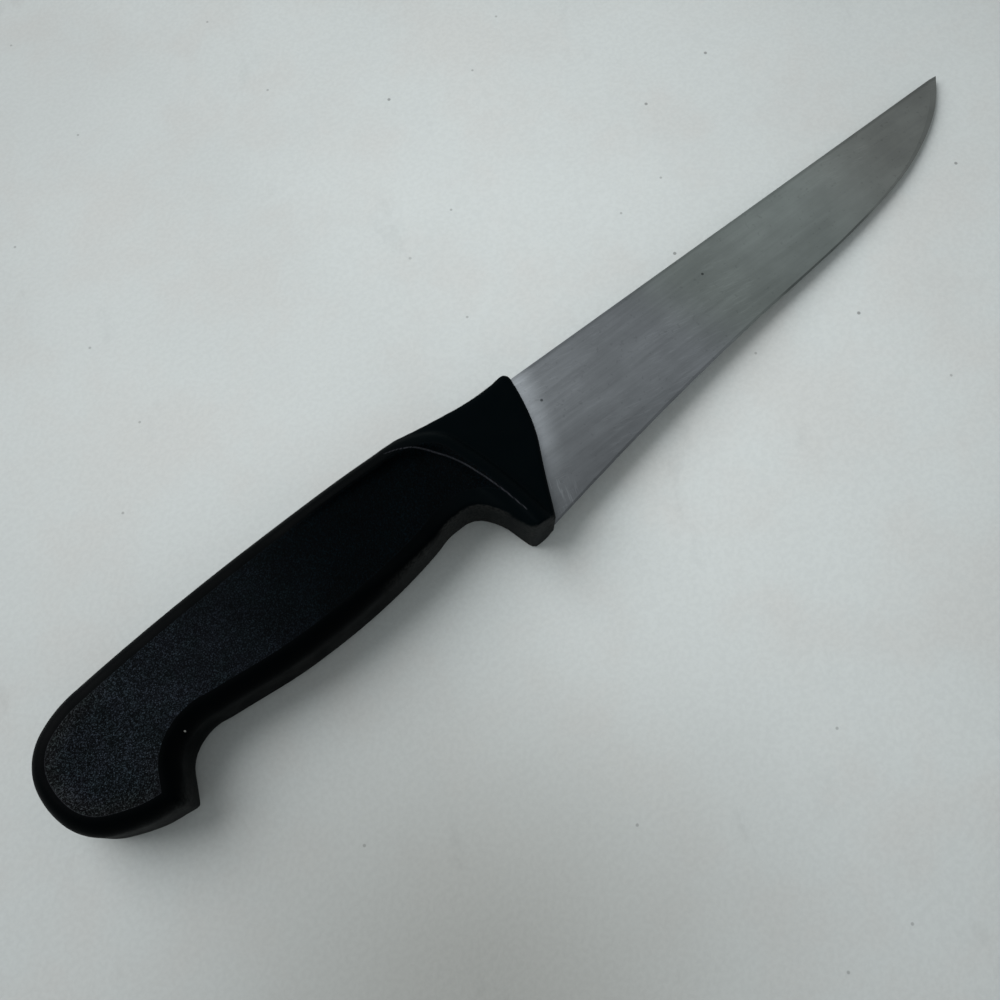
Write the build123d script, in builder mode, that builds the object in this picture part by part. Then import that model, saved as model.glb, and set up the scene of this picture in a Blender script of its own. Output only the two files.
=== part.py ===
from build123d import *
from math import cos, radians, sin, sqrt, tan
import os

# A butcher's pattern carving knife lying on its side: +X runs to the tip, +Y to the back, +Z is up.
# The origin lies on the table, under the middle of the knife's length and depth.

# Blade
blade_length = 152.0
blade_depth = 35.8
heel_setback = 16.7
spine_thickness = 2.5
tip_thickness = 1.3
edge_thickness = 0.26
bevel_angle = 14.0
edge_lean = 15.0
edge_land = 0.06
root_cover = 9.0

# Tang
tang_length = 118.0
tang_root_width = 15.0
tang_end_width = 9.0
tang_drop = 11.5
tang_hole_diameter = 6.0
tang_hole_pitch = 32.0
tang_hole_count = 3

# Moulded handle
handle_length = 141.4
handle_depth = 39.65
handle_thickness = 17.0
border = 4.0
guard_back_thickness = 14.0
guard_front_thickness = 8.4
horn_rise = 1.0
guard_corner_radius = 1.8
guard_rim_chamfer = 0.7
crest_land = 0.5
scoop_thickness = 12.6
scoop_wall_run = 2.4
scoop_wall_drift = 1.0

# Grip panels
panel_thickness = 1.6

# How far a cutting shape runs past what it cuts
overrun = 12.0

# Points of the handle's side view as shares: how far back from the blade, of the handle's length,
# and how far above the line of the blade's back, of the handle's depth
join_share = 0.250
join_rise_share = 0.073
top_share = 0.080
bottom_share = -0.920
back_shares = (
    (0.752, -0.950), (0.840, -0.918), (0.898, -0.881), (0.978, -0.709), (0.999, -0.494),
    (0.992, -0.285), (0.887, -0.039), (0.878, -0.035), (0.500, 0.067), (0.295, 0.078),
    (join_share, join_rise_share), (0.163, -0.119), (0.156, -0.194), (0.122, -1.105),
)
belly_shares = (
    (0.851, -1.093), (0.832, bottom_share), (0.784, -0.650), (0.747, -0.610), (0.715, -0.622),
    (0.563, -0.670), (0.298, -0.578), (0.259, -0.543), (0.211, -0.556), (0.185, -0.663),
    (0.169, -0.819), (0.138, -1.107),
)
guard_back_shares = ((join_share, join_rise_share), (0.170, 0.035), (0.086, 0.015), (0.013, 0.041))
guard_front_shares = ((0.034, -0.302), (0.090, -0.706))
# Where the grip starts to thin towards the guard and where it is thinnest, of the handle's length
scoop_start_share = 0.50
scoop_end_share = 0.235

# Points of the cutting edge as shares of the blade's length and depth: the stretch that whetting has
# hollowed, from the heel, and then the belly, the last point past the tip
hollow_shares = ((0.145, -0.831), (0.396, -0.707))
belly_edge_shares = (
    (0.600, -0.632), (0.700, -0.575), (0.807, -0.478), (0.889, -0.345), (0.954, -0.182),
    (1.000, 0.000), (1.030, 0.134),
)

# The knife's middle plane, with its origin where the blade's back enters the guard
half_thickness = handle_thickness / 2
guard_x = (handle_length - blade_length) / 2
spine_y = -(top_share + bottom_share) / 2 * handle_depth
middle = Plane(origin=(guard_x, spine_y, half_thickness))
# The same seen from the cutting edge, with the thickness upright
edge_view = Plane(origin=middle.origin, x_dir=(1, 0, 0), z_dir=(0, -1, 0))


def on_handle(shares):
    """Places points of the side view that are given as shares of the handle."""
    return [(-along * handle_length, above * handle_depth) for along, above in shares]


def on_blade(shares):
    """Places points of the cutting edge that are given as shares of the blade."""
    return [(along * blade_length, above * blade_depth) for along, above in shares]


def curved_rims(slab):
    """Picks the curved edges of a slab's two flat sides."""
    return [rim for rim in slab.faces().filter_by(Axis.Z).edges() if rim.geom_type != GeomType.LINE]


def turned(way, chord):
    """Gives the direction at an arc's other end from the one at this end."""
    return chord * (2 * way.dot(chord) / chord.dot(chord)) - way


def arc_chain(points):
    """Draws a smooth line through points, with two arcs from each point to the next."""
    spots = [Vector(*point) for point in points]
    chords = [after - before for before, after in zip(spots, spots[1:])]
    leans = [chord / chord.dot(chord) for chord in chords]
    ways = [(before + after).normalized() for before, after in zip(leans, leans[1:])]
    ways = [turned(ways[0], chords[0]), *ways, turned(ways[-1], chords[-1])]
    for start, end, chord, away, into in zip(spots, spots[1:], chords, ways, ways[1:]):
        both = chord.dot(away + into)
        spread = both**2 + 2 * (1 - away.dot(into)) * chord.dot(chord)
        arm = chord.dot(chord) / (both + sqrt(spread))
        first = start + away * arm
        second = end - into * arm
        meeting = (first + second) / 2
        TangentArc(start, meeting, tangent=away)
        TangentArc(meeting, end, tangent=second - first)


heel = (-heel_setback, -blade_depth)
hollow_points = on_blade(hollow_shares)
belly_edge_points = on_blade(belly_edge_shares)
back_points = on_handle(back_shares)
belly_points = on_handle(belly_shares)
guard_back_points = on_handle(guard_back_shares)
guard_front_points = on_handle(guard_front_shares)
join_x = -join_share * handle_length


def above_belly():
    """Outlines what lies above the hook, the belly, the throat and the back of the horn."""
    behind = -handle_length - overrun
    with BuildLine() as outline:
        arc_chain(belly_points)
        Polyline(
            belly_points[-1],
            (overrun, belly_points[-1][1]),
            (overrun, overrun),
            (behind, overrun),
            (behind, belly_points[0][1]),
            belly_points[0],
        )
    return outline.line


# Blade: what lies above the cutting edge, bevelled on both sides and ground flat
slope_along = (spine_thickness - tip_thickness) / 2 / blade_length
heel_half = spine_thickness / 2 + heel_setback * slope_along
slope_across = (heel_half - edge_thickness / 2) / blade_depth
right_ground = Plane(
    origin=middle.origin + Vector(0, 0, spine_thickness / 2),
    z_dir=(slope_along, -slope_across, 1),
)
edge_rise = (hollow_points[0][1] - heel[1]) / (hollow_points[0][0] - heel[0])
root_end = (heel[0] - root_cover, heel[1] - root_cover * edge_rise)
edge_end = belly_edge_points[-1]
# The bevel leans in from the edge, square to the line from heel to tip
bevel_rise = (spine_thickness - edge_land) / 2
bevel_run = bevel_rise / tan(radians(bevel_angle))
bevel_turn = radians(edge_lean)
bevel_way = Vector(-bevel_run * sin(bevel_turn), bevel_run * cos(bevel_turn), bevel_rise)

with BuildPart() as blade:
    with BuildSketch(middle):
        with BuildLine():
            Line(root_end, heel)
            ThreePointArc(heel, *hollow_points)
            Spline(hollow_points[-1], *belly_edge_points)
            Polyline(edge_end, (edge_end[0], overrun), (root_end[0], overrun), root_end)
        make_face()
    extrude(amount=edge_land / 2)
    extrude(blade.faces().sort_by(Axis.Z)[-1], amount=bevel_way.length, dir=bevel_way)
    with BuildSketch(middle):
        with BuildLine():
            Polyline(
                (-root_cover, 0),
                (edge_end[0], 0),
                (edge_end[0], -blade_depth - overrun),
                (heel[0] - root_cover / 3, -blade_depth - overrun),
                close=True,
            )
        make_face()
    extrude(amount=spine_thickness, mode=Mode.INTERSECT)
    split(bisect_by=right_ground, keep=Keep.BOTTOM)
    mirror(about=middle)
    # Tang, with the holes that the moulding flows through
    with BuildSketch(middle):
        with BuildLine():
            Polyline(
                (-root_cover, -tang_drop + tang_root_width / 2),
                (-tang_length, -tang_drop + tang_end_width / 2),
                (-tang_length, -tang_drop - tang_end_width / 2),
                (-root_cover * 1.5, -tang_drop - tang_root_width / 2),
                close=True,
            )
        make_face()
        with Locations((tang_end_width - tang_length, -tang_drop)):
            with GridLocations(tang_hole_pitch, 0, tang_hole_count, 1, align=(Align.MIN, Align.CENTER)):
                Circle(tang_hole_diameter / 2, mode=Mode.SUBTRACT)
    extrude(amount=spine_thickness / 2, both=True)

blade.part.label = "blade"

# Handle: a slab inside the back, the butt and the foot of the crest, and one above the belly,
# both with rounded rims
with BuildPart() as back_slab:
    with BuildSketch(middle):
        with BuildLine():
            arc_chain(back_points)
            Polyline(back_points[-1], (back_points[0][0], back_points[-1][1]), back_points[0])
        make_face()
    extrude(amount=half_thickness, both=True)
    fillet(curved_rims(back_slab), radius=border)

with BuildPart() as belly_slab:
    with BuildSketch(middle):
        add(above_belly())
        make_face()
    extrude(amount=half_thickness, both=True)
    fillet(curved_rims(belly_slab), radius=border)

# The flats that the rounding leaves on their right sides
back_flat = back_slab.faces().sort_by(Axis.Z)[-1]
belly_flat = belly_slab.faces().sort_by(Axis.Z)[-1]

with BuildPart() as grip:
    add(back_slab.part)
    add(belly_slab.part, mode=Mode.INTERSECT)
    split(bisect_by=Plane(origin=middle.origin + Vector(join_x, 0, 0), z_dir=(1, 0, 0)), keep=Keep.BOTTOM)

# Guard: the part of the side view from the throat to the blade
with BuildPart() as guard_blank:
    with BuildSketch(middle):
        with BuildLine():
            arc_chain(guard_back_points)
            arc_chain([guard_back_points[-1], *guard_front_points, heel])
            Polyline(heel, (join_x, heel[1] + horn_rise), guard_back_points[0])
        make_face()
    extrude(amount=half_thickness, both=True)
    with BuildSketch(middle):
        add(above_belly())
        make_face()
    extrude(amount=half_thickness, both=True, mode=Mode.INTERSECT)
    corners = guard_blank.edges().filter_by(Axis.Z)
    top_corner = corners.sort_by(Axis.X)[-1]
    horn_corner = corners.sort_by(Axis.Y)[1]
    fillet([top_corner, horn_corner], radius=guard_corner_radius)

with BuildPart() as crest:
    add(guard_blank.part)
    add(back_slab.part, mode=Mode.INTERSECT)

with BuildPart() as wedge:
    add(guard_blank.part)
    with BuildSketch(edge_view):
        with BuildLine():
            Polyline(
                (join_x, guard_back_thickness / 2),
                (0, guard_front_thickness / 2),
                (0, -guard_front_thickness / 2),
                (join_x, -guard_back_thickness / 2),
                close=True,
            )
        make_face()
    extrude(amount=handle_depth + overrun, both=True, mode=Mode.INTERSECT)
    sides = wedge.faces().sort_by(Axis.Z)
    rims = [rim for side in (sides[0], sides[-1]) for rim in side.edges().sort_by(Axis.X)[1:]]
    chamfer(rims, length=guard_rim_chamfer)


def thinning(depth):
    """Draws how the grip's side falls towards the guard, sunk by a depth, seen from the edge."""
    start = (-scoop_start_share * handle_length, half_thickness - depth)
    end = (-scoop_end_share * handle_length, scoop_thickness / 2 - depth)
    return Spline(start, end, tangents=[(1, 0), (1, 0)])


# Scoop behind the crest, where the finger rests: its wall leans back from the crest
wall_way = Vector(-scoop_wall_run, -scoop_wall_drift, (scoop_thickness - handle_thickness) / 2)
with BuildPart() as scoop:
    extrude(back_flat.moved(Location((0, 0, crest_land))), amount=wall_way.length * 1.5, dir=wall_way)
    with BuildSketch(edge_view):
        with BuildLine():
            floor = thinning(0)
            Polyline(
                floor @ 1,
                (overrun, scoop_thickness / 2),
                (overrun, handle_thickness),
                ((floor @ 0).X, handle_thickness),
                floor @ 0,
            )
        make_face()
    extrude(amount=handle_depth + overrun, both=True, mode=Mode.INTERSECT)

# Seat of a grip panel, sunk into the right side of the handle
with BuildPart() as panel_seat:
    extrude(back_flat, amount=-half_thickness)
    extrude(belly_flat, amount=-half_thickness, mode=Mode.INTERSECT)
    with BuildSketch(edge_view):
        with BuildLine():
            floor = thinning(panel_thickness)
            Polyline(
                floor @ 1,
                (overrun, scoop_thickness / 2 - panel_thickness),
                (overrun, handle_thickness),
                (-handle_length - overrun, handle_thickness),
                (-handle_length - overrun, half_thickness - panel_thickness),
                floor @ 0,
            )
        make_face()
    extrude(amount=handle_depth + overrun, both=True, mode=Mode.INTERSECT)

with BuildPart() as handle_body:
    for piece in (grip, crest, wedge):
        add(piece.part)
    for hollow in (scoop, panel_seat):
        add(hollow.part, mode=Mode.SUBTRACT)
        add(hollow.part.mirror(middle), mode=Mode.SUBTRACT)
    add(blade.part, mode=Mode.SUBTRACT)

handle_body.part.label = "handle_body"

# Grip panels
with BuildPart() as grip_panel_right:
    add(panel_seat.part)
    add(scoop.part, mode=Mode.SUBTRACT)

grip_panel_right.part.label = "grip_panel_right"

with BuildPart() as grip_panel_left:
    add(grip_panel_right.part.mirror(middle))

grip_panel_left.part.label = "grip_panel_left"

os.makedirs("parts", exist_ok=True)
export_step(blade.part, "parts/blade.step")
export_step(handle_body.part, "parts/handle_body.step")
export_step(grip_panel_right.part, "parts/grip_panel_right.step")
export_step(grip_panel_left.part, "parts/grip_panel_left.step")
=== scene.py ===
import math

import bmesh
import bpy
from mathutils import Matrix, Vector
from mathutils.kdtree import KDTree


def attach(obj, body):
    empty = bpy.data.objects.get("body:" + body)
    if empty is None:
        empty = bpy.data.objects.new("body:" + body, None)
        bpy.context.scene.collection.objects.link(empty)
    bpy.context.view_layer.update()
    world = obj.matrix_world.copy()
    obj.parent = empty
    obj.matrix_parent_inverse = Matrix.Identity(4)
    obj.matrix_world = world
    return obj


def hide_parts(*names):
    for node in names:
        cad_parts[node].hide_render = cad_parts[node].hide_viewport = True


# Looks of the butcher's pattern carving knife that lies on its side on a pale table.
# All lengths are in metres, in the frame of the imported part: +X to the tip, +Y to the back, +Z up.
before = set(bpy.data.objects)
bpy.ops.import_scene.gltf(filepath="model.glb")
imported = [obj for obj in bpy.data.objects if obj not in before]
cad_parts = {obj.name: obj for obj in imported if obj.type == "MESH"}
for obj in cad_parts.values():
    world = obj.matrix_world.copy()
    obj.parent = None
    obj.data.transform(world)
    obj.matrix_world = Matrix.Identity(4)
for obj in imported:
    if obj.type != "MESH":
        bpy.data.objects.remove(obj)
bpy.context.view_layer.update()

MM = 0.001

# Camera: how it looks at the knife in the photograph
VIEW_TURN = math.radians(38.55)
VIEW_ELEVATION = math.radians(70.0)
VIEW_DISTANCE = 238.1 * MM
VIEW_AIM = (-28.4 * MM, -6.25 * MM, 8.5 * MM)
TOWARDS_VIEWER = math.radians(-90.0)
LENS = 36.0
SENSOR = 36.0
CLIP_START = 10.0 * MM

# Light: a wide window on the left, and a dim room
KEY_DISTANCE = 3.0
KEY_SIZE = 3.3
KEY_POWER = 75.0
KEY_ELEVATION = math.radians(42.0)
KEY_TURN = math.radians(155.0)
ROOM_COLOUR = (0.96, 1.0, 1.0)
# Brightness of the room near the table and overhead, and how high each reaches
WALL_LEVEL = 0.46
WALL_TOP = 0.3
CEILING_LEVEL = 0.24
CEILING_START = 0.85

# Where the blade's back enters the guard. From there, names with ALONG count towards the tip,
# and names with BELOW count away from the back, towards the cutting edge's side
GUARD = (-5.3 * MM, 16.65 * MM, 8.5 * MM)
# Front of the guard, seen from above: how far behind that point it starts, and how it leans and
# bends further back on its way down
FRONT_START = 2.0 * MM
FRONT_LEAN = 0.10
FRONT_BEND = 10.2

# Ranges that many fades share
RISE = (0.0, 1.0)
FALL = (1.0, 0.0)
MIDDLE = (0.3, 0.7)
NARROW = (0.35, 0.65)
# Share of a dot's radius that has its full colour
DOT_CORE = 0.6
# Numbers of the Mix node's sockets for colours
MIX_FACTOR = 0
MIX_FIRST = 6
MIX_SECOND = 7
MIX_RESULT = 2

# Table: its half width, and how far it lies under the knife
TABLE_HALF = 3.0
TABLE_GAP = 0.02 * MM
# Its swell under the blade, which in the photograph droops to it
SWELL_START = -23.0 * MM
SWELL_END = 175.0 * MM
SWELL_STEP = 5.0 * MM
SWELL_HEIGHT = 7.3 * MM
SWELL_POWER = 1.8
# Its colours, and the middles of its painted shadow patch and of its painted pool of light, on axes
# turned with the view
TABLE_COLOUR = (0.778, 0.828, 0.825)
STAIN_COLOUR = (0.768, 0.797, 0.787)
SHADOW_PATCH_COLOUR = (0.50, 0.515, 0.495)
SHADOW_PATCH_PLACE = (-22.0 * MM, -134.0 * MM, 0.0)
SHADOW_PATCH_REACH = (0.0, 98.0 * MM)
LIT_POOL_PLACE = (0.0, 30.0 * MM, 0.0)
LIT_POOL_REACH = (0.0, 230.0 * MM)
LIT_POOL_TONES = (1.04, 0.76)
# Its clouds, stains, grain and smudges: lumps a metre, which of the noise shows, and its tones
TABLE_CLOUDS = 9.0
TABLE_CLOUD_TONES = (0.965, 1.02)
STAINS = 28.0
STAINED = (0.42, 0.66)
TABLE_GRAINS = 900.0
TABLE_GRAIN_TONES = (0.975, 1.025)
SMUDGES = (60.0, 26.0, 60.0)
SMUDGE_TURN = 0.5
SMUDGED = (0.60, 0.74)
SMUDGE_TONES = (1.0, 0.93)
# Its dark flecks and fainter crumbs: cells a metre, which cells hold one, its rim and its tones
FLECKS = 38.0
FLECKED = (0.90, 0.91)
FLECK_RIM = (0.010, 0.024)
FLECK_TONES = (1.0, 0.50)
CRUMBS = 60.0
CRUMBED = (0.88, 0.89)
CRUMB_RIM = (0.012, 0.03)
CRUMB_TONES = (1.0, 0.68)
TABLE_ROUGHNESS = 0.55
TABLE_SPECULAR = 0.3
TABLE_BUMP = 0.04 * MM

# Steel: its colours, and where each gives way to the next, the first time on a slant
STEEL_AT_GUARD = (0.360, 0.385, 0.412)
STEEL_MIDWAY = (0.360, 0.402, 0.392)
STEEL_AT_TIP = (0.350, 0.368, 0.355)
MIDWAY_SPAN = (30.0 * MM, 52.0 * MM)
MIDWAY_SLANT = -0.35
TIP_SPAN = (85.0 * MM, 125.0 * MM)
# Marks of use and grinding along the blade: lumps a metre along each axis, and their tones
STREAKS = (60.0, 2600.0, 60.0)
STREAK_TONES = (0.975, 1.02)
BANDS = (14.0, 260.0, 14.0)
BAND_TONES = (0.95, 1.05)
STEEL_CLOUDS = (90.0, 120.0, 90.0)
STEEL_CLOUD_TONES = (0.93, 1.07)
PITS = 900.0
PITTED = (0.66, 0.74)
PIT_TONES = (1.0, 0.88)
# Hatching left by grinding, in patches and turned against the blade's length
HATCHES = (260.0, 3000.0, 60.0)
HATCH_TURN = math.radians(12.0)
HATCHED = (0.5, 0.7)
HATCH_PATCHES = (60.0, 90.0, 60.0)
HATCH_PATCHED = (0.45, 0.6)
HATCH_TONES = (1.0, 1.12)
# Short scratches near the guard's lower end, with a turn that stands them upright
SCRATCHED_PLACE = (-17.1 * MM, -15.1 * MM, 9.7 * MM)
SCRATCH_REACH = (3.0 * MM, 8.0 * MM)
SCRATCHES = (2400.0, 240.0, 60.0)
SCRATCH_TURN = math.radians(22.0)
SCRATCHED = (0.54, 0.68)
SCRATCH_TONE = 1.35
# Light stretch along the front of the guard: how far before it, and how far down
SHINE_AHEAD = (0.5 * MM, 7.5 * MM)
SHINE_BELOW = (14.0 * MM, 32.0 * MM)
SHINE_TONE = 1.80
# Painted shade on the bevel at the edge, told by its tilt, and on a stretch of it that is darker still
BEVEL_FLATNESS = (0.978, 0.992)
BEVEL_SHADE_TONE = 0.82
DARKER_BEVEL_FROM = (66.0 * MM, 72.0 * MM)
DARKER_BEVEL_TO = (100.0 * MM, 108.0 * MM)
DARKER_BEVEL_TONE = 0.62
# Darker heel
HEEL_BELOW = (10.0 * MM, 34.0 * MM)
HEEL_ALONG = (5.0 * MM, 40.0 * MM)
HEEL_TONE = 0.68
# Lighter stretch beneath the back
UPPER_FROM = (45.0 * MM, 75.0 * MM)
UPPER_TO = (95.0 * MM, 125.0 * MM)
UPPER_BELOW = (10.0 * MM, 22.0 * MM)
UPPER_TONE = 1.20
# Darker tip, and darker rim of the back
TIP_ALONG = (105.0 * MM, 150.0 * MM)
TIP_TONES = (1.0, 0.88)
BACK_BELOW = (0.4 * MM, 1.2 * MM)
BACK_TONES = (0.80, 1.0)
# Two dark dots, in millimetres from the guard
STEEL_DOTS = ((1.0, -9.1), (56.4, -7.1))
STEEL_DOT_RADIUS = 0.45 * MM
STEEL_DOT_TONES = (1.0, 0.35)
STEEL_ROUGHNESS = (0.33, 0.38)
STEEL_BUMP = 0.003 * MM

# Black plastic, both kinds: its specular level, and the colour and width of its painted highlight lines
PLASTIC_SPECULAR = 0.02
HIGHLIGHT_LINE_COLOUR = (0.034, 0.036, 0.042)
LINE_CORE = 0.04 * MM
LINE_REACH = 0.25 * MM
# The painted highlight along the crest, which starts behind the guard and has breaks
CREST_ALONG = (-44.0 * MM, -34.0 * MM)
CREST_BREAKS = 160.0
CREST_BROKEN = (0.35, 0.6)
CREST_SHARES = (0.6, 1.0)
# Smooth plastic: its colours on the grip and on the wedge at the guard
GRIP_COLOUR = (0.0001, 0.0007, 0.0010)
WEDGE_COLOUR = (0.0004, 0.0019, 0.0026)
WEDGE_ALONG = (-45.0 * MM, -22.0 * MM)
SCUFFS = 140.0
FINE_GRAIN = 1500.0
# Its walls which face away from the back, lighter with wear and with painted sheen: in the throat, and
# less at the hook
WEAR_AND_SHEEN_COLOUR = (0.023, 0.024, 0.0235)
WALL_FLATNESS = (0.35, 0.85)
WALL_FACING = (-0.5, -0.1)
THROAT_ALONG = (-66.0 * MM, -40.0 * MM)
HOOK_WALL = (-126.5 * MM, -21.5 * MM, 6.0 * MM)
HOOK_WALL_REACH = (6.0 * MM, 14.0 * MM)
HOOK_WALL_SHARES = (0.8, 0.0)
SCUFFED = (0.35, 0.62)
WEAR_AND_SHEEN_SHARES = (0.25, 1.0)
# A speck of dust on it, in millimetres from the guard
HOOK_DUST = ((-109.7, -24.1),)
HOOK_DUST_RADIUS = 0.24 * MM
HOOK_DUST_COLOUR = (0.32, 0.32, 0.30)
SMOOTH_ROUGHNESS = (0.40, 0.54)
SMOOTH_BUMP = 0.02 * MM
# Grained plastic: its colours at the butt and towards the guard, and its hues
BUTT_COLOUR = (0.0074, 0.0096, 0.0130)
FADED_COLOUR = (0.0003, 0.0013, 0.0020)
FADED_ALONG = (-120.0 * MM, -60.0 * MM)
HUES = 260.0
GREENER = (0.90, 1.02, 0.94)
# Its greyer rim at the butt
RIM_COLOUR = (0.0120, 0.0128, 0.0132)
RIM_REACH = 5.0 * MM
RIM_ALONG = (-128.0 * MM, -112.0 * MM)
RIM_SHARES = (0.7, 0.0)
# Its grain: bright specks in cells, with a power, a mean and a contrast that falls along the grip
CELLS = 4800.0
SPECKLE_POWER = 4.0
SPECKLE_MEAN = 0.2
SPECKLE_ALONG = (-130.0 * MM, -85.0 * MM)
SPECKLE_CONTRAST = (3.9, 2.5)
GRAINS = 2600.0
GRAIN_TONES = (0.75, 1.3)
PATCHES = 110.0
PATCH_TONES = (0.85, 1.2)
# The painted highlight along its edge, mostly at the butt
EDGE_ALONG = (-132.0 * MM, -108.0 * MM)
EDGE_ALONG_SHARES = (0.55, 0.05)
EDGE_PATCH_SHARES = (0.5, 1.0)
# Specks of dust on it, in millimetres from the guard
THROAT_DUST = ((-32.2, -17.8), (-30.3, -19.3))
THROAT_DUST_RADIUS = 0.25 * MM
THROAT_DUST_COLOUR = (0.25, 0.26, 0.25)
GRAIN_ROUGHNESS = 0.6
GRAIN_BUMP = 0.08 * MM
CELL_DEPTH = -0.5

# Moulding: its fine mesh, and the rounds of smoothing everywhere and where it is soft
VOXEL = 0.4 * MM
ALL_ROUNDS = 4
SOFT_ROUNDS = 26
CREASE = math.radians(40.0)
# It is soft behind the guard's front, from the middle of the grip, down to the horn's foot, and
# some way off the panel's edge
SOFT_BEHIND = (2.0 * MM, 5.0 * MM)
SOFT_ALONG = (-85.0 * MM, -70.0 * MM)
SOFT_BELOW = (34.0 * MM, 29.0 * MM)
SOFT_OFF_EDGE = (0.4 * MM, 1.2 * MM)
# The hook's point, from the guard, and how far round it the moulding is half as soft
HOOK = (-117.8 * MM, -36.5 * MM)
SOFT_ROUND_HOOK = (7.0 * MM, 3.0 * MM)
HOOK_SOFTNESS = 0.5
# Height over the middle plane between which the panels are cut out of it
PANEL_FLOOR = 4.6 * MM
PANEL_TOP = 12.0 * MM
# Faces whose normals rise less than this are walls, and corners closer than this are one
UPRIGHT = 0.01
MERGED = 0.002 * MM
LINE_STEP = 0.1 * MM
# Points of the crest's lip, in millimetres from the guard
CREST_SPOTS = (
    (-39.1, 0.7), (-35.3, -0.8), (-31.7, -3.2), (-28.9, -6.7), (-26.4, -11.5),
    (-24.7, -16.4), (-23.0, -22.9), (-21.5, -31.1),
)
# Values that each corner of the mesh carries: how far it is from the panel's edge and the crest's lip
EDGE = "edge_distance"
CREST = "crest_distance"


def direction(turn, elevation):
    """Unit vector at an angle from the photograph's right, and above the table."""
    ahead = turn - VIEW_TURN
    flat = math.cos(elevation)
    return Vector((flat * math.cos(ahead), flat * math.sin(ahead), math.sin(elevation)))


def link(name, data):
    """Adds an object with its data to the scene."""
    thing = bpy.data.objects.new(name, data)
    bpy.context.scene.collection.objects.link(thing)
    return thing


def place_camera():
    data = bpy.data.cameras.new("camera")
    data.lens = LENS
    data.sensor_width = SENSOR
    data.clip_start = CLIP_START
    camera = link("camera", data)
    away = direction(TOWARDS_VIEWER, VIEW_ELEVATION)
    camera.location = Vector(VIEW_AIM) + away * VIEW_DISTANCE
    camera.rotation_euler = (-away).to_track_quat("-Z", "Y").to_euler()
    bpy.context.scene.camera = camera


def place_window():
    data = bpy.data.lights.new("window", "AREA")
    data.shape = "DISK"
    data.size = KEY_SIZE
    data.energy = KEY_POWER
    window = link("window", data)
    towards = direction(KEY_TURN, KEY_ELEVATION)
    window.location = towards * KEY_DISTANCE
    window.rotation_euler = (-towards).to_track_quat("-Z", "Y").to_euler()


def light_room():
    """Lights the scene from all round, with less light from overhead."""
    world = bpy.data.worlds.new("room")
    bpy.context.scene.world = world
    world.use_nodes = True
    tree = world.node_tree
    way = tree.nodes.new("ShaderNodeTexCoord")
    parts = tree.nodes.new("ShaderNodeSeparateXYZ")
    level = tree.nodes.new("ShaderNodeMapRange")
    background = tree.nodes["Background"]
    tree.links.new(way.outputs["Generated"], parts.inputs[0])
    tree.links.new(parts.outputs["Z"], level.inputs["Value"])
    tree.links.new(level.outputs["Result"], background.inputs["Strength"])
    level.inputs["From Min"].default_value = WALL_TOP
    level.inputs["From Max"].default_value = CEILING_START
    level.inputs["To Min"].default_value = WALL_LEVEL
    level.inputs["To Max"].default_value = CEILING_LEVEL
    background.inputs["Color"].default_value = (*ROOM_COLOUR, 1.0)


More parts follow.
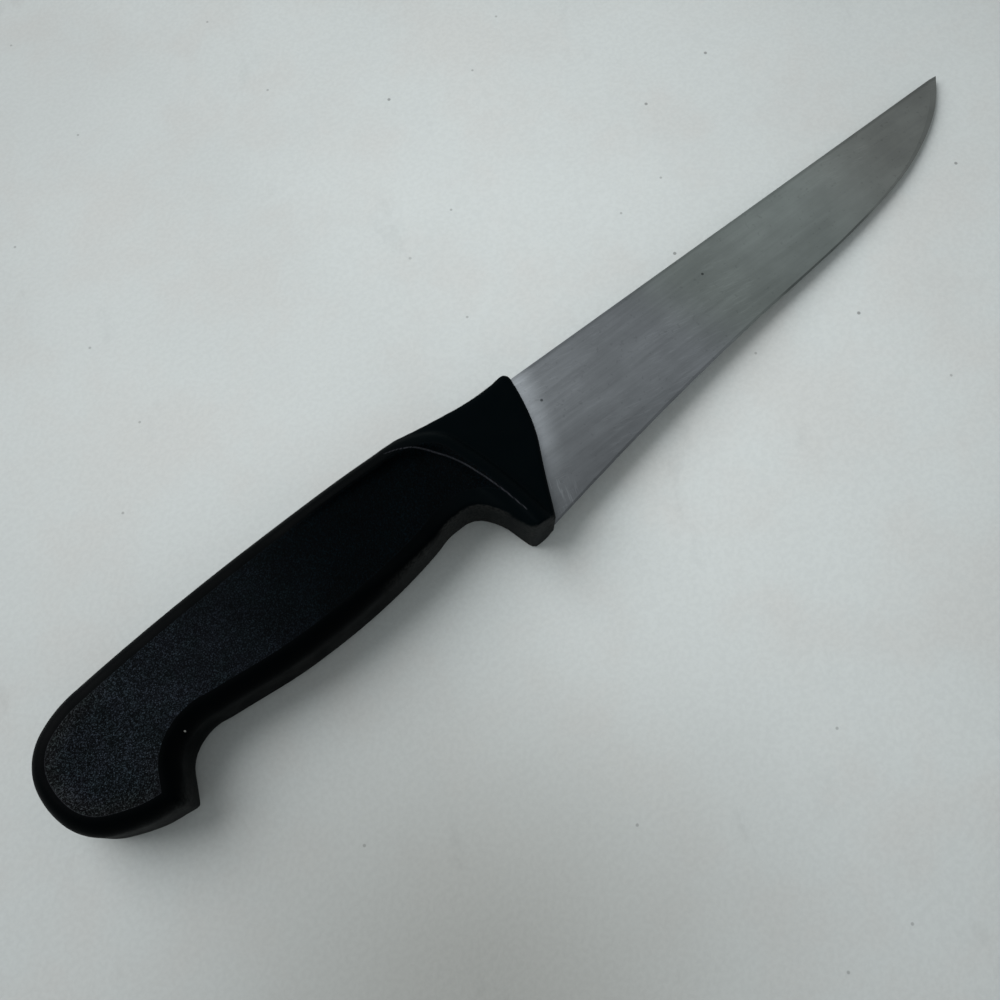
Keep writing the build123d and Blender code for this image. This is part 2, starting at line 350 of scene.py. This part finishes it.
class Shading:
    """Builds one procedural material, in the object's own metres."""

    def __init__(self, name):
        self.material = bpy.data.materials.new(name)
        self.material.use_nodes = True
        self.tree = self.material.node_tree
        self.shader = self.tree.nodes["Principled BSDF"]
        spots = self.tree.nodes.new("ShaderNodeTexCoord")
        self.place = spots.outputs["Object"]
        self.facing = spots.outputs["Normal"]

    def plug(self, value, socket):
        """Links a node's output to a socket, or sets the socket to a value."""
        if isinstance(value, bpy.types.NodeSocket):
            self.tree.links.new(value, socket)
        else:
            socket.default_value = value

    def math(self, operation, first, second=0.0):
        """Works out one operation on two numbers."""
        node = self.tree.nodes.new("ShaderNodeMath")
        node.operation = operation
        self.plug(first, node.inputs[0])
        self.plug(second, node.inputs[1])
        return node.outputs[0]

    def product(self, *values):
        """All the values multiplied."""
        result = values[0]
        for value in values[1:]:
            result = self.math("MULTIPLY", result, value)
        return result

    def axis(self, letter, of=None):
        """One coordinate of the place on the object, or of another vector."""
        node = self.tree.nodes.new("ShaderNodeSeparateXYZ")
        self.plug(self.place if of is None else of, node.inputs[0])
        return node.outputs[letter]

    def along(self):
        """How far a place is from the guard, towards the tip."""
        return self.math("SUBTRACT", self.axis("X"), GUARD[0])

    def flatness(self):
        """1 on a level face, and 0 on an upright wall."""
        return self.math("ABSOLUTE", self.axis("Z", self.facing))

    def distance(self, spot, of=None):
        """How far a place is from a spot."""
        node = self.tree.nodes.new("ShaderNodeVectorMath")
        node.operation = "DISTANCE"
        self.plug(self.place if of is None else of, node.inputs[0])
        node.inputs[1].default_value = spot
        return node.outputs["Value"]

    def cells(self, scale, flat=False):
        """Small cells, so many a metre: each one's own value from 0 to 1, and the way to its middle."""
        node = self.tree.nodes.new("ShaderNodeTexVoronoi")
        node.voronoi_dimensions = "2D" if flat else "3D"
        self.plug(self.place, node.inputs["Vector"])
        node.inputs["Scale"].default_value = scale
        return self.axis("X", node.outputs["Color"]), node.outputs["Distance"]

    def dots(self, spots, radius):
        """1 inside small dots, placed as seen from above, and 0 elsewhere."""
        flat = self.stretched((1.0, 1.0, 0.0))
        total = 0.0
        for across, above in spots:
            spot = (GUARD[0] + across * MM, GUARD[1] + above * MM, 0.0)
            dot = self.fade(self.distance(spot, flat), (radius * DOT_CORE, radius), FALL)
            total = self.math("MAXIMUM", total, dot)
        return total

    def near(self, line, reach=LINE_REACH):
        """1 on a line of the moulding, and 0 from a reach away from it."""
        node = self.tree.nodes.new("ShaderNodeAttribute")
        node.attribute_name = line
        return self.fade(node.outputs["Fac"], (LINE_CORE, reach), FALL)

    def grey(self, value):
        """A grey colour from a number."""
        node = self.tree.nodes.new("ShaderNodeCombineXYZ")
        for socket in node.inputs:
            self.plug(value, socket)
        return node.outputs[0]

    def stretched(self, scale, turn=0.0):
        """The place on the object, turned about Z and then scaled along each axis."""
        place = self.place
        for share, angle in (((1.0, 1.0, 1.0), turn), (scale, 0.0)):
            node = self.tree.nodes.new("ShaderNodeMapping")
            self.plug(place, node.inputs["Vector"])
            node.inputs["Scale"].default_value = share
            node.inputs["Rotation"].default_value = (0.0, 0.0, angle)
            place = node.outputs[0]
        return place

    def noise(self, lumps, detail=3.0, roughness=0.5, turn=0.0):
        """Noise from 0 to 1, with so many lumps a metre, one number or one for each axis."""
        scale = lumps if isinstance(lumps, tuple) else (lumps, lumps, lumps)
        node = self.tree.nodes.new("ShaderNodeTexNoise")
        self.plug(self.stretched(scale, turn), node.inputs["Vector"])
        node.inputs["Scale"].default_value = 1.0
        node.inputs["Detail"].default_value = detail
        node.inputs["Roughness"].default_value = roughness
        return node.outputs["Fac"]

    def fade(self, value, span, to=RISE, smooth=True):
        """Takes a value from one range to another and holds it at the ends."""
        node = self.tree.nodes.new("ShaderNodeMapRange")
        node.interpolation_type = "SMOOTHSTEP" if smooth else "LINEAR"
        self.plug(value, node.inputs["Value"])
        for name, level in zip(("From Min", "From Max", "To Min", "To Max"), (*span, *to)):
            node.inputs[name].default_value = level
        return node.outputs["Result"]

    def toned(self, share, tone):
        """1 where a share is 0, and a tone where it is 1."""
        return self.fade(share, RISE, (1.0, tone), smooth=False)

    def blend(self, factor, first, second, kind="MIX"):
        """Mixes two colours."""
        node = self.tree.nodes.new("ShaderNodeMix")
        node.data_type = "RGBA"
        node.blend_type = kind
        self.plug(factor, node.inputs[MIX_FACTOR])
        for colour, socket in ((first, MIX_FIRST), (second, MIX_SECOND)):
            self.plug((*colour, 1.0) if isinstance(colour, tuple) else colour, node.inputs[socket])
        return node.outputs[MIX_RESULT]

    def shaded(self, colour, tone):
        """A colour times a number."""
        return self.blend(1.0, colour, self.grey(tone), "MULTIPLY")

    def bump(self, height, depth):
        """Raises the surface by a height times a depth in metres."""
        node = self.tree.nodes.new("ShaderNodeBump")
        node.inputs["Distance"].default_value = depth
        self.plug(height, node.inputs["Height"])
        return node.outputs["Normal"]

    def set(self, **values):
        """Sets the shader's sockets; a low line in a name stands for a space."""
        for name, value in values.items():
            self.plug(value, self.shader.inputs[name.replace("_", " ")])


def specks(look, scale, chosen, rim):
    """1 inside round specks in a few cells of the table, and 0 elsewhere."""
    kind, middle = look.cells(scale, flat=True)
    return look.product(look.fade(kind, chosen), look.fade(middle, rim, FALL))


def table_material():
    look = Shading("pale_table")
    clouds = look.noise(TABLE_CLOUDS, detail=4.0)
    grains = look.noise(TABLE_GRAINS, detail=2.0)
    stains = look.noise(STAINS, detail=5.0, roughness=0.6)
    smudges = look.noise(SMUDGES, detail=5.0, roughness=0.65, turn=SMUDGE_TURN)
    seen = look.stretched((1.0, 1.0, 1.0), VIEW_TURN)
    # Painted shadow: the table is darker round one patch
    shadow_patch = look.fade(look.distance(SHADOW_PATCH_PLACE, seen), SHADOW_PATCH_REACH, FALL)
    plain = look.blend(look.fade(stains, STAINED), TABLE_COLOUR, STAIN_COLOUR)
    shade = look.blend(shadow_patch, plain, SHADOW_PATCH_COLOUR)
    flecks = specks(look, FLECKS, FLECKED, FLECK_RIM)
    crumbs = specks(look, CRUMBS, CRUMBED, CRUMB_RIM)
    tone = look.product(
        look.fade(clouds, NARROW, TABLE_CLOUD_TONES),
        look.fade(grains, MIDDLE, TABLE_GRAIN_TONES),
        # Painted pool of light: brightest round one spot, and darker further off
        look.fade(look.distance(LIT_POOL_PLACE, seen), LIT_POOL_REACH, LIT_POOL_TONES),
        look.fade(flecks, RISE, FLECK_TONES),
        look.fade(crumbs, RISE, CRUMB_TONES),
        look.fade(smudges, SMUDGED, SMUDGE_TONES),
    )
    look.set(Base_Color=look.shaded(shade, tone), Roughness=TABLE_ROUGHNESS)
    look.set(Specular_IOR_Level=TABLE_SPECULAR, Normal=look.bump(grains, TABLE_BUMP))
    return look.material


def table_height(x):
    """The table swells gently under the blade, which in the photograph droops to it."""
    share = min(1.0, max(0.0, (x - SWELL_START) / (SWELL_END - SWELL_START)))
    return SWELL_HEIGHT * (1.0 - (1.0 - share) ** SWELL_POWER) - TABLE_GAP


def make_table():
    count = math.ceil((SWELL_END - SWELL_START) / SWELL_STEP)
    stops = [SWELL_START + SWELL_STEP * step for step in range(count + 1)]
    stops = [-TABLE_HALF, *stops, TABLE_HALF]
    corners = [(x, y, table_height(x)) for x in stops for y in (-TABLE_HALF, TABLE_HALF)]
    rows = range(0, len(corners) - 2, 2)
    mesh = bpy.data.meshes.new("table")
    mesh.from_pydata(corners, [], [(row, row + 2, row + 3, row + 1) for row in rows])
    mesh.shade_smooth()
    mesh.materials.append(table_material())
    link("table", mesh)


def steel_colour(look, along, below):
    """Purplish grey near the guard, greener beyond, and neutral at the tip."""
    slant = look.math("ADD", along, look.product(below, MIDWAY_SLANT))
    shade = look.blend(look.fade(slant, MIDWAY_SPAN), STEEL_AT_GUARD, STEEL_MIDWAY)
    return look.blend(look.fade(along, TIP_SPAN), shade, STEEL_AT_TIP)


def steel_marks(look, streaks):
    """Tone of the marks that grinding and use left on the blade, with its scratches and dots."""
    bands = look.noise(BANDS, detail=3.0)
    clouds = look.noise(STEEL_CLOUDS, detail=4.0, roughness=0.6)
    hatches = look.noise(HATCHES, detail=3.0, turn=HATCH_TURN)
    patches = look.noise(HATCH_PATCHES, detail=2.0)
    hatched = look.product(look.fade(hatches, HATCHED), look.fade(patches, HATCH_PATCHED))
    pits = look.noise(PITS, detail=1.0)
    scratches = look.noise(SCRATCHES, detail=3.0, turn=SCRATCH_TURN)
    reached = look.fade(look.distance(SCRATCHED_PLACE), SCRATCH_REACH, FALL)
    return look.product(
        look.fade(bands, MIDDLE, BAND_TONES),
        look.fade(streaks, MIDDLE, STREAK_TONES),
        look.fade(clouds, MIDDLE, STEEL_CLOUD_TONES),
        look.fade(hatched, RISE, HATCH_TONES),
        look.fade(pits, PITTED, PIT_TONES),
        look.toned(look.product(reached, look.fade(scratches, SCRATCHED)), SCRATCH_TONE),
        look.fade(look.dots(STEEL_DOTS, STEEL_DOT_RADIUS), RISE, STEEL_DOT_TONES),
    )


def steel_zones(look, along, below):
    """Tone of the blade's lighter and darker parts."""
    retreat = look.math("ADD", look.product(below, FRONT_LEAN), look.product(below, below, FRONT_BEND))
    ahead = look.math("ADD", look.math("ADD", along, retreat), FRONT_START)
    shine = look.product(look.fade(ahead, SHINE_AHEAD, FALL), look.fade(below, SHINE_BELOW, FALL))
    # Painted shade on the bevel, found by its tilt, and darker still along one stretch
    bevel_shade = look.fade(look.flatness(), BEVEL_FLATNESS, FALL)
    darker_bevel = look.product(look.fade(along, DARKER_BEVEL_FROM), look.fade(along, DARKER_BEVEL_TO, FALL))
    heel = look.product(look.fade(below, HEEL_BELOW), look.fade(along, HEEL_ALONG, FALL))
    upper = look.product(
        look.fade(along, UPPER_FROM),
        look.fade(along, UPPER_TO, FALL),
        look.fade(below, UPPER_BELOW, FALL),
    )
    return look.product(
        look.toned(shine, SHINE_TONE),
        look.toned(bevel_shade, BEVEL_SHADE_TONE),
        look.toned(look.product(bevel_shade, darker_bevel), DARKER_BEVEL_TONE),
        look.toned(heel, HEEL_TONE),
        look.toned(upper, UPPER_TONE),
        look.fade(along, TIP_ALONG, TIP_TONES),
        look.fade(below, BACK_BELOW, BACK_TONES),
    )


def steel_material():
    look = Shading("satin_steel")
    along = look.along()
    below = look.math("SUBTRACT", GUARD[1], look.axis("Y"))
    streaks = look.noise(STREAKS, detail=4.0, roughness=0.6)
    tone = look.product(steel_marks(look, streaks), steel_zones(look, along, below))
    look.set(Base_Color=look.shaded(steel_colour(look, along, below), tone), Metallic=1.0)
    look.set(Roughness=look.fade(streaks, MIDDLE, STEEL_ROUGHNESS))
    look.set(Normal=look.bump(streaks, STEEL_BUMP))
    return look.material


def crest_highlight(look, along):
    """How much of the painted highlight line along the crest shows."""
    breaks = look.noise(CREST_BREAKS, detail=2.0)
    return look.product(
        look.near(CREST),
        look.fade(along, CREST_ALONG),
        look.fade(breaks, CREST_BROKEN, CREST_SHARES),
    )


def wall_wear_and_sheen(look, along, fine, scuffs):
    """How much wear, dust and painted sheen lighten the walls that face away from the back, in the
    throat and at the hook.
    """
    hook = look.fade(look.distance(HOOK_WALL), HOOK_WALL_REACH, HOOK_WALL_SHARES)
    return look.product(
        look.fade(look.flatness(), WALL_FLATNESS, FALL),
        look.fade(look.axis("Y", look.facing), WALL_FACING, FALL),
        look.math("MAXIMUM", look.fade(along, THROAT_ALONG), hook),
        look.fade(fine, NARROW, WEAR_AND_SHEEN_SHARES),
        look.fade(scuffs, SCUFFED, WEAR_AND_SHEEN_SHARES),
    )


def gloss_material():
    look = Shading("smooth_black_plastic")
    along = look.along()
    scuffs = look.noise(SCUFFS, detail=4.0)
    fine = look.noise(FINE_GRAIN, detail=2.0)
    shade = look.blend(look.fade(along, WEDGE_ALONG), GRIP_COLOUR, WEDGE_COLOUR)
    # Wear and painted sheen on the walls that face away from the back
    shade = look.blend(wall_wear_and_sheen(look, along, fine, scuffs), shade, WEAR_AND_SHEEN_COLOUR)
    # Painted highlight along the crest's lip
    shade = look.blend(crest_highlight(look, along), shade, HIGHLIGHT_LINE_COLOUR)
    shade = look.blend(look.dots(HOOK_DUST, HOOK_DUST_RADIUS), shade, HOOK_DUST_COLOUR)
    look.set(Base_Color=shade, Specular_IOR_Level=PLASTIC_SPECULAR)
    look.set(Roughness=look.fade(scuffs, MIDDLE, SMOOTH_ROUGHNESS))
    look.set(Normal=look.bump(fine, SMOOTH_BUMP))
    return look.material


def grain_colour(look, along):
    """Bluish at the butt, fading towards the guard, with a greyer rim and greener patches."""
    shade = look.blend(look.fade(along, FADED_ALONG), BUTT_COLOUR, FADED_COLOUR)
    rim = look.product(look.near(EDGE, RIM_REACH), look.fade(along, RIM_ALONG, RIM_SHARES))
    shade = look.blend(rim, shade, RIM_COLOUR)
    hues = look.noise(HUES, detail=3.0)
    return look.blend(look.fade(hues, NARROW), look.blend(1.0, shade, GREENER, "MULTIPLY"), shade)


def grain_tone(look, along, cell, grain, patches):
    """Tone of the bright specks and of the coarser patches."""
    speckle = look.math("SUBTRACT", look.math("POWER", cell, SPECKLE_POWER), SPECKLE_MEAN)
    contrast = look.fade(along, SPECKLE_ALONG, SPECKLE_CONTRAST)
    return look.product(
        look.math("ADD", look.product(speckle, contrast), 1.0),
        look.fade(grain, NARROW, GRAIN_TONES),
        look.fade(patches, MIDDLE, PATCH_TONES),
    )


def edge_highlight(look, along, patches):
    """How much of the painted highlight line along the panel's edge shows."""
    return look.product(
        look.near(EDGE),
        look.fade(along, EDGE_ALONG, EDGE_ALONG_SHARES),
        look.fade(patches, MIDDLE, EDGE_PATCH_SHARES),
    )


def grain_material():
    look = Shading("grained_black_plastic")
    along = look.along()
    cell, middle = look.cells(CELLS)
    grain = look.noise(GRAINS, detail=2.0, roughness=0.6)
    patches = look.noise(PATCHES, detail=4.0)
    tone = grain_tone(look, along, cell, grain, patches)
    shade = look.shaded(grain_colour(look, along), tone)
    # Painted highlights along the panel's edge and the crest's lip
    shade = look.blend(edge_highlight(look, along, patches), shade, HIGHLIGHT_LINE_COLOUR)
    shade = look.blend(crest_highlight(look, along), shade, HIGHLIGHT_LINE_COLOUR)
    shade = look.blend(look.dots(THROAT_DUST, THROAT_DUST_RADIUS), shade, THROAT_DUST_COLOUR)
    look.set(Base_Color=shade, Roughness=GRAIN_ROUGHNESS, Specular_IOR_Level=PLASTIC_SPECULAR)
    bumps = look.math("ADD", grain, look.product(middle, CELL_DEPTH))
    look.set(Normal=look.bump(bumps, GRAIN_BUMP))
    return look.material


def dress(node, material):
    """Gives a CAD node its material."""
    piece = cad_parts[node]
    piece.data.materials.clear()
    piece.data.materials.append(material)


def evaluated(piece):
    """The mesh that an object has with its modifiers, after which the object is removed."""
    graph = bpy.context.evaluated_depsgraph_get()
    mesh = bpy.data.meshes.new_from_object(piece.evaluated_get(graph))
    bpy.data.objects.remove(piece)
    return mesh


def panel_outline(node):
    """The corners of a panel's outline in order, as seen from above."""
    shape = bmesh.new()
    shape.from_mesh(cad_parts[node].data)
    bmesh.ops.remove_doubles(shape, verts=shape.verts, dist=MERGED)
    ahead = {}
    for edge in shape.edges:
        heights = sorted(face.normal.z for face in edge.link_faces)
        if abs(heights[0]) < UPRIGHT < heights[-1]:
            first, last = edge.verts
            ahead.setdefault(first, []).append(last)
            ahead.setdefault(last, []).append(first)
    before, here = None, next(iter(ahead))
    start = here
    corners = []
    while not corners or here is not start:
        corners.append(here.co.xy.copy())
        before, here = here, next(corner for corner in ahead[here] if corner is not before)
    shape.free()
    return corners


def crest_line():
    """Corners close together along the smooth line of the crest's lip, as seen from above."""
    data = bpy.data.curves.new("crest", "CURVE")
    data.dimensions = "3D"
    spline = data.splines.new("BEZIER")
    spline.bezier_points.add(len(CREST_SPOTS) - 1)
    for point, (along, above) in zip(spline.bezier_points, CREST_SPOTS):
        point.co = (GUARD[0] + along * MM, GUARD[1] + above * MM, 0.0)
        point.handle_left_type = "AUTO"
        point.handle_right_type = "AUTO"
    mesh = evaluated(link("crest", data))
    return [corner.co.xy.copy() for corner in mesh.vertices]


def line_finder(corners):
    """A search tree of points close together along a line."""
    places = []
    for first, last in zip(corners, corners[1:]):
        steps = math.ceil((last - first).length / LINE_STEP)
        places += [first.lerp(last, step / steps) for step in range(steps)]
    tree = KDTree(len(places))
    for index, place in enumerate(places):
        tree.insert((place.x, place.y, 0.0), index)
    tree.balance()
    return tree


def flat_distance(tree, place):
    """How far a place is from a line, as seen from above."""
    return tree.find((place.x, place.y, 0.0))[2]


def smooth_step(value, span):
    """0 up to the start of a span, 1 from its end, and a smooth rise between."""
    start, end = span
    share = min(1.0, max(0.0, (value - start) / (end - start)))
    return share * share * (3.0 - 2.0 * share)


def softness(place, edge):
    """How much the moulding is smoothed at a place: near the guard, and less round the hook's point."""
    along = place.x - GUARD[0]
    below = GUARD[1] - place.y
    behind = -FRONT_START - FRONT_LEAN * below - FRONT_BEND * below**2 - along
    guard = (
        smooth_step(behind, SOFT_BEHIND)
        * smooth_step(along, SOFT_ALONG)
        * smooth_step(below, SOFT_BELOW)
        * smooth_step(flat_distance(edge, place), SOFT_OFF_EDGE)
    )
    reach = math.hypot(along - HOOK[0], -below - HOOK[1])
    return max(guard, HOOK_SOFTNESS * smooth_step(reach, SOFT_ROUND_HOOK))


def whole_moulding(edge):
    """Handle and panels in one fine mesh, with the edges near the guard and the hook softened."""
    shape = bmesh.new()
    for node in ("handle_body", "grip_panel_right", "grip_panel_left"):
        shape.from_mesh(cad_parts[node].data)
    mesh = bpy.data.meshes.new("moulding")
    shape.to_mesh(mesh)
    shape.free()
    piece = link("moulding", mesh)
    remesh = piece.modifiers.new("fine", "REMESH")
    remesh.mode = "VOXEL"
    remesh.voxel_size = VOXEL
    piece = link("moulding", evaluated(piece))
    group = piece.vertex_groups.new(name="soft")
    for corner in piece.data.vertices:
        group.add([corner.index], softness(corner.co, edge), "REPLACE")
    piece.modifiers.new("all", "SMOOTH").iterations = ALL_ROUNDS
    smooth = piece.modifiers.new("soft", "SMOOTH")
    smooth.iterations = SOFT_ROUNDS
    smooth.vertex_group = group.name
    return link("moulding", evaluated(piece))


def panel_cutter(outline, low, high):
    """An upright block with a panel's outline."""
    shape = bmesh.new()
    base = shape.faces.new([shape.verts.new((spot.x, spot.y, low)) for spot in outline])
    raised = bmesh.ops.extrude_face_region(shape, geom=[base])["geom"]
    tops = [item for item in raised if isinstance(item, bmesh.types.BMVert)]
    bmesh.ops.translate(shape, verts=tops, vec=(0.0, 0.0, high - low))
    bmesh.ops.recalc_face_normals(shape, faces=shape.faces)
    mesh = bpy.data.meshes.new("cutter")
    shape.to_mesh(mesh)
    shape.free()
    return link("cutter", mesh)


def cut(base, tools, operation):
    """The mesh that a copy of an object has after an exact boolean with each of the tools."""
    piece = link("cut", base.data.copy())
    for tool in tools:
        step = piece.modifiers.new("cut", "BOOLEAN")
        step.operation = operation
        step.object = tool
        step.solver = "EXACT"
    return evaluated(piece)


def make_piece(name, node, mesh, material, lines):
    """Turns a mesh into the piece that stands for a CAD node."""
    shape = bmesh.new()
    shape.from_mesh(mesh)
    for line, tree in lines.items():
        layer = shape.verts.layers.float.new(line)
        for corner in shape.verts:
            corner[layer] = flat_distance(tree, corner.co)
    for face in shape.faces:
        face.smooth = True
    for edge in shape.edges:
        edge.smooth = edge.calc_face_angle(0.0) < CREASE
    shape.to_mesh(mesh)
    shape.free()
    mesh.materials.clear()
    mesh.materials.append(material)
    piece = link(name, mesh)
    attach(piece, "root")
    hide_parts(node)


def make_moulding():
    """Makes the handle and its two grained panels from one softened moulding."""
    outline = panel_outline("grip_panel_right")
    lines = {EDGE: line_finder(outline + outline[:1]), CREST: line_finder(crest_line())}
    whole = whole_moulding(lines[EDGE])
    middle = GUARD[2]
    blocks = {
        "right": panel_cutter(outline, middle + PANEL_FLOOR, middle + PANEL_TOP),
        "left": panel_cutter(outline, middle - PANEL_TOP, middle - PANEL_FLOOR),
    }
    grain = grain_material()
    body = cut(whole, blocks.values(), "DIFFERENCE")
    make_piece("moulded_handle", "handle_body", body, gloss_material(), lines)
    for side, block in blocks.items():
        mesh = cut(whole, [block], "INTERSECT")
        make_piece("grained_panel_" + side, "grip_panel_" + side, mesh, grain, lines)
    for helper in (whole, *blocks.values()):
        bpy.data.objects.remove(helper)


place_camera()
place_window()
light_room()
make_table()
dress("blade", steel_material())
make_moulding()
bpy.context.scene.view_settings.view_transform = "Standard"
